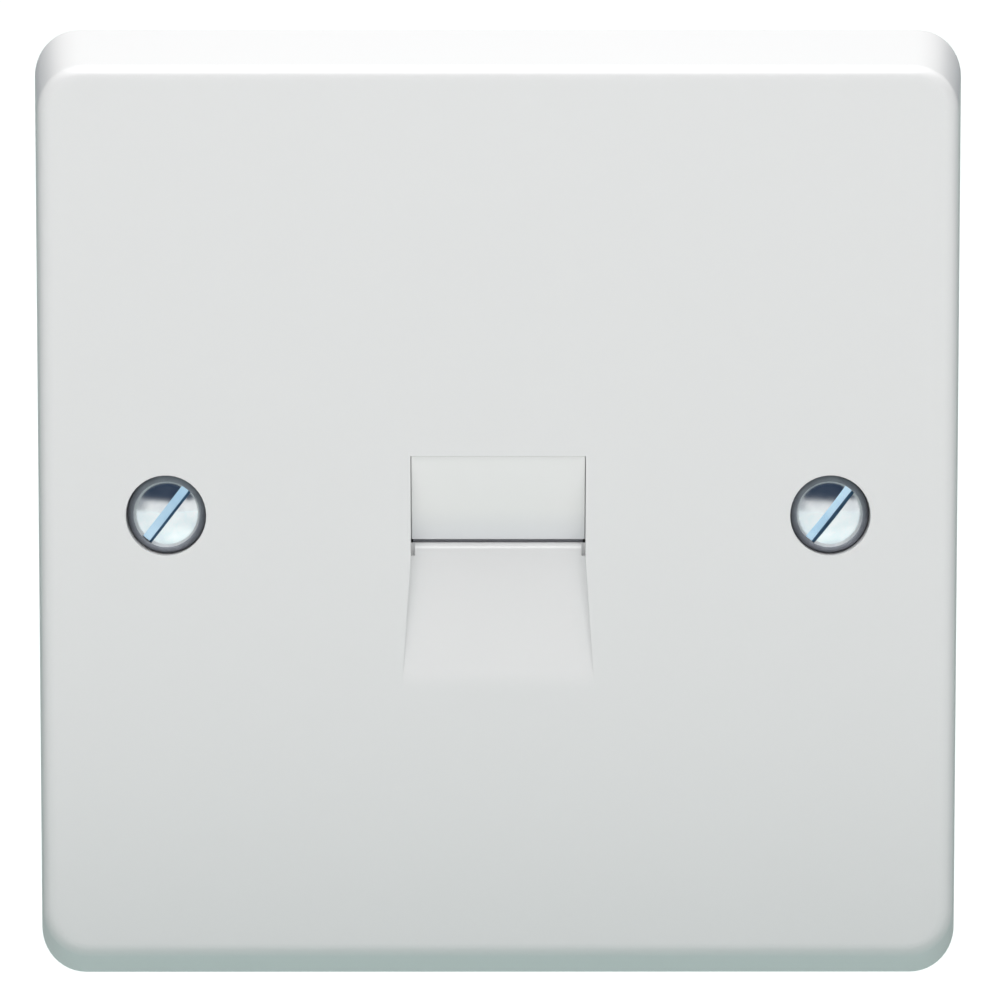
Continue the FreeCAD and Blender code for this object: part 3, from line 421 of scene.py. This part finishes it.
def add_thread(bm, x):
    """The helical thread of the screw at this x, closed at its end."""
    length = THREAD_END - THREAD_START + THREAD_PITCH
    count = int(length / THREAD_PITCH * THREAD_SIDES) + 1
    rows = []
    for k in range(count):
        base = THREAD_START - THREAD_PITCH + THREAD_PITCH * k / THREAD_SIDES
        row = []
        for offset, radius in THREAD_FORM:
            y = min(max(base + offset, THREAD_START), THREAD_END)
            ease = min(THREAD_END - y, y - THREAD_START) / THREAD_TAPER
            radius = min(radius, THREAD_FOOT + (THREAD_CREST - THREAD_FOOT) * ease)
            row.append(add_spot(bm, x, y, radius, FULL_TURN * k / THREAD_SIDES))
        rows.append(row)
    for k in range(count - 1):
        near, far = rows[k], rows[k + 1]
        for low, high in ((0, 1), (1, 2), (2, 3)):
            bm.faces.new((near[low], far[low], far[high], near[high]))
        if k + THREAD_SIDES + 1 < count:
            after, beyond = rows[k + THREAD_SIDES], rows[k + THREAD_SIDES + 1]
            bm.faces.new((near[3], far[3], beyond[0], after[0]))
    bm.faces.new([
        add_spot(bm, x, THREAD_END, THREAD_FOOT, FULL_TURN * k / THREAD_SIDES)
        for k in range(THREAD_SIDES)
    ])


def add_bar(bm, x, form):
    """A bar of this section along the slot of the screw at this x."""
    along = Vector((math.cos(SLOT_ANGLE), 0, math.sin(SLOT_ANGLE)))
    across = Vector((math.sin(SLOT_ANGLE), 0, -math.cos(SLOT_ANGLE)))
    near, far = [], []
    for ring, end in ((near, -SLOT_HALF_LENGTH), (far, SLOT_HALF_LENGTH)):
        for side, y in form:
            ring.append(bm.verts.new((Vector((x, y, 0)) + across * side + along * end) * MM))
    stitch(bm, [near, far])
    bm.faces.new(near[::-1])
    bm.faces.new(far)


def make_screws():
    """Heads and necks as in the model, with a cut thread below and a collar round each; the
    collar's darker steel is painted shade.
    """
    mesh = frame["nodes"]["fixing_screws"].data.copy()
    bm = bmesh.new()
    bm.from_mesh(mesh)
    behind = [vertex for vertex in bm.verts if vertex.co.y > HEAD_END * MM]
    bmesh.ops.delete(bm, geom=behind, context="VERTS")
    bm.to_mesh(mesh)
    bm.free()
    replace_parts(add_piece("screw_heads", mesh, "zinc_steel"), "fixing_screws")

    bm = bmesh.new()
    for x in SCREW_X:
        add_thread(bm, x)
    bmesh.ops.remove_doubles(bm, verts=bm.verts, dist=THREAD_WELD * MM)
    turn_outward(bm)
    add_piece("screw_threads", made_mesh(bm, "screw_threads", 35), "zinc_steel")

    bm = bmesh.new()
    for x in SCREW_X:
        add_collar(bm, x)
    mesh = made_mesh(bm, "screw_collars", 60)
    # The collars' darker steel is painted shade
    add_piece("screw_collars", mesh, "painted_shade_steel")


def make_slots():
    """What shows in the screws' slots: a bluish floor, and a dark strip of painted shade in the
    lower corner.
    """
    for name, form, finish in (
        ("slot_floors", SLOT_FLOOR_FORM, "slot_steel"),
        ("slot_corners", SLOT_CORNER_FORM, "slot_painted_shade"),
    ):
        bm = bmesh.new()
        for x in SCREW_X:
            add_bar(bm, x, form)
        turn_outward(bm)
        add_piece(name, made_mesh(bm, name), finish)


# Shut flap, in mm: its pivot, its lean, and the directions up along it and out of its front
PIVOT = Vector((0, -4.0, -4.55))
LEAN = math.radians(21.2)
FLAP_UP = Vector((0, -math.sin(LEAN), math.cos(LEAN)))
FLAP_OUT = Vector((0, -math.cos(LEAN), -math.sin(LEAN)))

# Shutter spring, in mm: a coil about the pivot, one leg straight on from it and one that bends
# to lie behind the flap
COIL_RADIUS = 0.95
COIL_HALF = 1.5
COIL_TURNS = 3
COIL_LEAVES = math.radians(135) + LEAN
COIL_STEPS = 96
COIL_END = 0.0005
WIRE_RADIUS = 0.175
WIRE_SIDES = 12
LEG = 3.6
LEG_STAND_OFF = 0.275
LEG_BEND = 0.6
BEND_STEPS = 6


def add_wire(bm, route, radius, sides):
    """A round wire along a list of points in mm, with closed ends."""
    rings = []
    normal = None
    for spot, point in enumerate(route):
        before = route[max(spot - 1, 0)]
        after = route[min(spot + 1, len(route) - 1)]
        along = (after - before).normalized()
        if normal is None:
            normal = along.orthogonal().normalized()
        normal = (normal - along * normal.dot(along)).normalized()
        other = along.cross(normal)
        ring = []
        for k in range(sides):
            turn = FULL_TURN * k / sides
            out = normal * math.cos(turn) + other * math.sin(turn)
            ring.append(bm.verts.new((point + out * radius) * MM))
        rings.append(ring)
    stitch(bm, rings)
    bm.faces.new(rings[0][::-1])
    bm.faces.new(rings[-1])


def coil(share):
    """The point of the coil at this share of its length, from the pivot."""
    turns = COIL_TURNS + (1.5 * math.pi - COIL_LEAVES) / FULL_TURN
    angle = FULL_TURN * turns * share
    side = COIL_HALF - 2 * COIL_HALF * share
    return Vector((side, -COIL_RADIUS * math.sin(angle), -COIL_RADIUS * math.cos(angle)))


def spring_route():
    """Foot leg, coil and upper leg of the torsion spring as one list of points."""
    first, last = coil(0), coil(1)
    enter = (coil(COIL_END) - first).normalized()
    leave = (last - coil(1 - COIL_END)).normalized()
    past = (LEG_STAND_OFF + last.dot(FLAP_OUT)) / -leave.dot(FLAP_OUT)
    knee = last + leave * past
    half_turn = leave.angle(FLAP_UP) / 2
    reach = LEG_BEND * math.tan(half_turn)
    start, end = knee - leave * reach, knee + FLAP_UP * reach
    centre = knee + (FLAP_UP - leave).normalized() * (LEG_BEND / math.cos(half_turn))
    route = [first - enter * LEG, first - enter * (LEG / 2)]
    route += [coil(k / COIL_STEPS) for k in range(COIL_STEPS + 1)]
    route.append(start)
    for k in range(1, BEND_STEPS):
        route.append(centre + (start - centre).slerp(end - centre, k / BEND_STEPS))
    route += [end, end + FLAP_UP * (LEG / 2), end + FLAP_UP * LEG]
    return [PIVOT + point for point in route]


def make_spring():
    """The torsion spring, as one wire in place of the model's spring."""
    bm = bmesh.new()
    add_wire(bm, spring_route(), WIRE_RADIUS, WIRE_SIDES)
    mesh = made_mesh(bm, "spring_wire", 50)
    piece = add_piece("spring_wire", mesh, "spring_steel", body=None)
    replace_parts(piece, "shutter_spring")
    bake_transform(piece)


# Front of the shutter, in mm: a plate that stands just proud of the flap and ends above the lip.
# Low and high are measured up along the flap from its foot, rises and bury out of its front
FLAP_FOOT = Vector((0, -5.165, -5.002))
FRONT_LOW = 2.96
FRONT_HIGH = 11.23
FRONT_RISE_LOW = 0.62
FRONT_RISE_HIGH = 0.2
FRONT_BURY = 0.1
FRONT_HALF_WIDTH = 7.9
FRONT_EDGE = 0.08


def make_shutter_front():
    """The flap's front skin, with rounded edges. It moves with the flap."""
    bm = bmesh.new()
    back, front = [], []
    for corners, low_rise, high_rise in (
        (back, -FRONT_BURY, -FRONT_BURY), (front, FRONT_RISE_LOW, FRONT_RISE_HIGH),
    ):
        low = FLAP_FOOT + FLAP_UP * FRONT_LOW + FLAP_OUT * low_rise
        high = FLAP_FOOT + FLAP_UP * FRONT_HIGH + FLAP_OUT * high_rise
        for side, place in ((-1, low), (1, low), (1, high), (-1, high)):
            across = Vector((side * FRONT_HALF_WIDTH, 0, 0))
            corners.append(bm.verts.new((place + across) * MM))
    bm.faces.new(back)
    bm.faces.new(front)
    stitch(bm, [back, front])
    turn_outward(bm)
    rounded = [edge for edge in bm.edges if all(vertex in front for vertex in edge.verts)]
    bmesh.ops.bevel(
        bm, geom=rounded, offset=FRONT_EDGE * MM, segments=4, profile=0.5, affect="EDGES",
    )
    mesh = made_mesh(bm, "shutter_front", 30)
    # Its finish grows darker towards the flap's foot, as painted shade
    add_piece("shutter_front", mesh, "shutter_face", body="flap")


# Floors of the notches beside the lip, in mm: inner and outer side, front and back, bottom and top
NOTCH_SIDES = (7.58, 7.97)
NOTCH_DEPTHS = (-6.62, -6.5)
NOTCH_HEIGHTS = (-3.95, -2.78)


def make_notch_floors():
    """Thin floors that close the view through the notches."""
    bm = bmesh.new()
    for side in (-1, 1):
        corners = [
            bm.verts.new(Vector((side * x, y, z)) * MM)
            for x in NOTCH_SIDES for y in NOTCH_DEPTHS for z in NOTCH_HEIGHTS
        ]
        bmesh.ops.convex_hull(bm, input=corners)
    turn_outward(bm)
    add_piece("notch_floors", made_mesh(bm, "notch_floors"), "white_moulding")


# The board's trim, in mm. A contact's tail is looked for over the last part of the contact, and
# a solder joint's section is (radius, rise) from the pad up
TAIL_END = 0.05
JOINT_FORM = ((0.78, 0.0), (0.70, 0.05), (0.52, 0.13), (0.40, 0.26), (0.33, 0.42), (0.30, 0.50))
JOINT_SIDES = 20

# Tracks: the level of each one's terminal, how far they run to the sides and their corner's cut.
# Those from tails to the left of the split run to the left, the others to the right. The bevel is
# a share of the width, and a corner widens a track by the stretch at most
TRACK_LEVELS = (5.0, 0.0, -5.0, -5.0, 0.0, 5.0)
TRACK_EDGE = 8.6
TRACK_SPLIT = -1.7
TRACK_CORNER = 0.8
TRACK_HALF_WIDTH = 0.3
TRACK_RISE = 0.035
TRACK_BEVEL = 0.12
TRACK_STRETCH = 2.0

# Numbers: their size, half their thickness, distance from the middle and lift off the board
NUMBER_SIZE = 2.4
NUMBER_DEPTH = 0.012
NUMBER_SIDE = 17.8
NUMBER_LIFT = 0.02


def contact_tails():
    """Where each contact's tail comes out of the board, as (x, z) in metres."""
    tails = []
    for number in range(1, 7):
        low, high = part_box(f"contact_{number}")
        mesh = frame["nodes"][f"contact_{number}"].data
        heights = [v.co.z for v in mesh.vertices if v.co.y > high.y - TAIL_END * MM]
        tails.append(((low.x + high.x) / 2, (min(heights) + max(heights)) / 2))
    return tails


def add_joint(bm, x, z, y, out):
    """A solder joint: a concave cone from the pad at y up the pin, in the direction out."""
    rings = []
    for radius, rise in JOINT_FORM:
        ring = []
        for k in range(JOINT_SIDES):
            turn = FULL_TURN * k / JOINT_SIDES
            across, up = radius * MM * math.cos(turn), radius * MM * math.sin(turn)
            ring.append(bm.verts.new((x + across, y + out * rise * MM, z + up)))
        rings.append(ring)
    stitch(bm, rings)
    bm.faces.new(rings[-1])


def make_joints():
    """Solder joints round the contact tails behind the board and the blade feet before it."""
    bm = bmesh.new()
    for x, z in contact_tails():
        add_joint(bm, x, z, BOARD_BACK, 1)
    for number in range(1, 7):
        low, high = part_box(f"idc_blade_{number}")
        add_joint(bm, (low.x + high.x) / 2, (low.z + high.z) / 2, BOARD_FRONT, -1)
    turn_outward(bm)
    add_piece("solder_joints", made_mesh(bm, "solder_joints", 50), "tinned_bronze")


def add_ribbon(bm, route, half_width, y, rise):
    """A flat raised track on the board through points (x, z), in metres."""
    left, right = [], []
    for spot, point in enumerate(route):
        before = (point - route[spot - 1]).normalized() if spot else None
        after = (route[spot + 1] - point).normalized() if spot + 1 < len(route) else None
        along = ((before or after) + (after or before)).normalized()
        across = Vector((-along.y, along.x))
        stretch = half_width / max(1 / TRACK_STRETCH, along.dot(after or before))
        left.append(point + across * stretch)
        right.append(point - across * stretch)
    rows = []
    for one, other in zip(left, right):
        inset = (other - one) * TRACK_BEVEL
        rows.append([
            bm.verts.new((one.x, y, one.y)),
            bm.verts.new(((one + inset).x, y + rise, (one + inset).y)),
            bm.verts.new(((other - inset).x, y + rise, (other - inset).y)),
            bm.verts.new((other.x, y, other.y)),
        ])
    for near, far in zip(rows, rows[1:]):
        for k in range(3):
            bm.faces.new((near[k], near[k + 1], far[k + 1], far[k]))
    bm.faces.new(rows[0])
    bm.faces.new(rows[-1][::-1])


def make_tracks():
    """Tracks under the solder resist, from each contact's tail to its terminal block."""
    bm = bmesh.new()
    corner = TRACK_CORNER * MM
    for (x, z), way in zip(contact_tails(), TRACK_LEVELS):
        side = -1 if x < TRACK_SPLIT * MM else 1
        level = way * MM
        route = [
            Vector((x, z)),
            Vector((x, level + corner)),
            Vector((x + side * corner, level)),
            Vector((side * TRACK_EDGE * MM, level)),
        ]
        add_ribbon(bm, route, TRACK_HALF_WIDTH * MM, BOARD_BACK, TRACK_RISE * MM)
    turn_outward(bm)
    mesh = made_mesh(bm, "board_tracks")
    add_piece("board_tracks", mesh, "track_resist")


def make_numbers():
    """Printed numbers 1 to 6 on the board, beside the ways of the terminal blocks."""
    upright = Matrix(((-1, 0, 0), (0, 0, 1), (0, 1, 0))).transposed()
    bm = bmesh.new()
    for number in range(1, 7):
        low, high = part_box(f"idc_blade_{number}")
        curve = bpy.data.curves.new(f"number_{number}", "FONT")
        curve.body = str(number)
        curve.size = NUMBER_SIZE * MM
        curve.extrude = NUMBER_DEPTH * MM
        curve.align_x = "CENTER"
        curve.align_y = "CENTER"
        holder = bpy.data.objects.new(f"number_{number}", curve)
        bpy.context.scene.collection.objects.link(holder)
        shown = holder.evaluated_get(bpy.context.evaluated_depsgraph_get())
        drawn = bpy.data.meshes.new_from_object(shown)
        side = -1 if low.x < 0 else 1
        place = Vector((
            side * NUMBER_SIDE * MM, BOARD_BACK + NUMBER_LIFT * MM, (low.z + high.z) / 2,
        ))
        drawn.transform(Matrix.Translation(place) @ upright.to_4x4())
        bm.from_mesh(drawn)
        bpy.data.objects.remove(holder)
        bpy.data.curves.remove(curve)
        bpy.data.meshes.remove(drawn)
    add_piece("way_numbers", made_mesh(bm, "way_numbers"), "print_ink")


def backdrop_material():
    """Pale, and lifted to white for the camera and, before the socket, for reflections.

    It keeps the shadow.
    """
    material = bpy.data.materials.new("backdrop")
    material.use_nodes = True
    made = Tree(material.node_tree)
    shader = made.tree.nodes["Principled BSDF"]
    fill(shader, Base_Color=FLOOR_COLOUR, Roughness=FLOOR_ROUGHNESS, Emission_Color=WHITE)
    place = made.axes(made.add("ShaderNodeNewGeometry").outputs["Position"])
    before = made.step(place["Y"], *FLOOR_FADE, 1.0, 0.0)
    camera, mirrored = made.seen_rays()
    seen = made.combine("MAXIMUM", camera, made.combine("MULTIPLY", mirrored, before))
    glow = made.step(seen, 0.0, 1.0, 0.0, FLOOR_GLOW)
    made.join(glow, shader.inputs["Emission Strength"])
    return material


def make_stage():
    """A plain pale floor below the socket."""
    mesh = bpy.data.meshes.new("floor")
    corners = [
        (side * FLOOR_HALF, depth * FLOOR_HALF, FLOOR_Z)
        for side, depth in ((-1, -1), (1, -1), (1, 1), (-1, 1))
    ]
    mesh.from_pydata(corners, [], [(0, 1, 2, 3)])
    floor = bpy.data.objects.new("floor", mesh)
    bpy.context.scene.collection.objects.link(floor)
    mesh.materials.append(backdrop_material())


def area_light(name, place, aim, size, power, spread, tint=(1.0, 1.0, 1.0), in_gloss=True):
    """A rectangular lamp that is aimed at a point, and that reflections may leave out."""
    lamp = bpy.data.lights.new(name, "AREA")
    lamp.shape = "RECTANGLE"
    lamp.size, lamp.size_y = size
    lamp.energy = power
    lamp.spread = spread
    lamp.color = tint
    holder = bpy.data.objects.new(name, lamp)
    holder.location = place
    holder.rotation_euler = (Vector(aim) - Vector(place)).to_track_quat("-Z", "Y").to_euler()
    holder.visible_glossy = in_gloss
    bpy.context.scene.collection.objects.link(holder)


def mirrored_room(made):
    """The room that reflections see: white low in front, a dark band above, a bright ceiling."""
    way = made.axes(made.add("ShaderNodeTexCoord").outputs["Generated"])
    shade = {
        name: made.step(way[axis], *rest) for name, (axis, *rest) in ROOM_SHADES.items()
    }
    band = made.combine("MULTIPLY", shade["band_foot"], shade["band_top"])
    band = made.combine("MULTIPLY", band, shade["in_front"])
    rear = made.combine("MULTIPLY", shade["behind"], shade["low"])
    dark = made.combine("MAXIMUM", made.combine("MAXIMUM", band, shade["left"]), rear)
    room = made.add("ShaderNodeBackground")
    made.join(made.mix(dark, WHITE, ROOM_DARK), room.inputs["Color"])
    made.join(shade["strength"], room.inputs["Strength"])
    return room.outputs["Background"]


def make_world():
    """An even room for the light, the mirrored room for reflections, and white for the camera."""
    world = bpy.data.worlds.new("studio")
    bpy.context.scene.world = world
    world.use_nodes = True
    made = Tree(world.node_tree)
    even = made.tree.nodes["Background"]
    fill(even, Color=WHITE, Strength=ROOM_LEVEL)
    plain = made.add("ShaderNodeBackground")
    fill(plain, Color=WHITE)
    camera, mirrored = made.seen_rays()
    unseen = made.mix_shaders(mirrored, even.outputs["Background"], mirrored_room(made))
    whole = made.mix_shaders(camera, unseen, plain.outputs["Background"])
    made.join(whole, made.tree.nodes["World Output"].inputs["Surface"])


def make_light():
    make_world()
    area_light(
        "front_panel", place=(0.0, -0.097, 0.093), aim=(0.0, FACE_Y, 0.124), size=(0.4, 0.3),
        power=0.142, spread=2.384, tint=(1.0, 0.91, 0.92), in_gloss=False,
    )
    area_light(
        "top_light", place=(0.0, -0.06, 0.45), aim=(0.0, FACE_Y, 0.0), size=(0.3, 0.1),
        power=0.18, spread=1.6,
    )
    area_light(
        "brow_light", place=(0.0, -0.26, 0.42), aim=(0.0, FACE_Y, 0.0), size=(0.3, 0.12),
        power=0.15, spread=1.6,
    )


def make_camera():
    data = bpy.data.cameras.new("camera")
    data.lens = CAMERA_LENS
    data.sensor_width = CAMERA_SENSOR
    data.clip_start = CAMERA_NEAR
    camera = bpy.data.objects.new("camera", data)
    back = Vector((
        math.sin(CAMERA_TURN) * math.cos(CAMERA_RISE),
        -math.cos(CAMERA_TURN) * math.cos(CAMERA_RISE),
        math.sin(CAMERA_RISE),
    ))
    camera.location = Vector(CAMERA_AIM) + back * CAMERA_DISTANCE
    camera.rotation_euler = (-back).to_track_quat("-Z", "Y").to_euler()
    bpy.context.scene.collection.objects.link(camera)
    bpy.context.scene.camera = camera


make_screws()
make_slots()
make_spring()
make_shutter_front()
make_notch_floors()
make_joints()
make_tracks()
make_numbers()
make_stage()
make_light()
make_camera()
bpy.context.scene.view_settings.view_transform = "Standard"
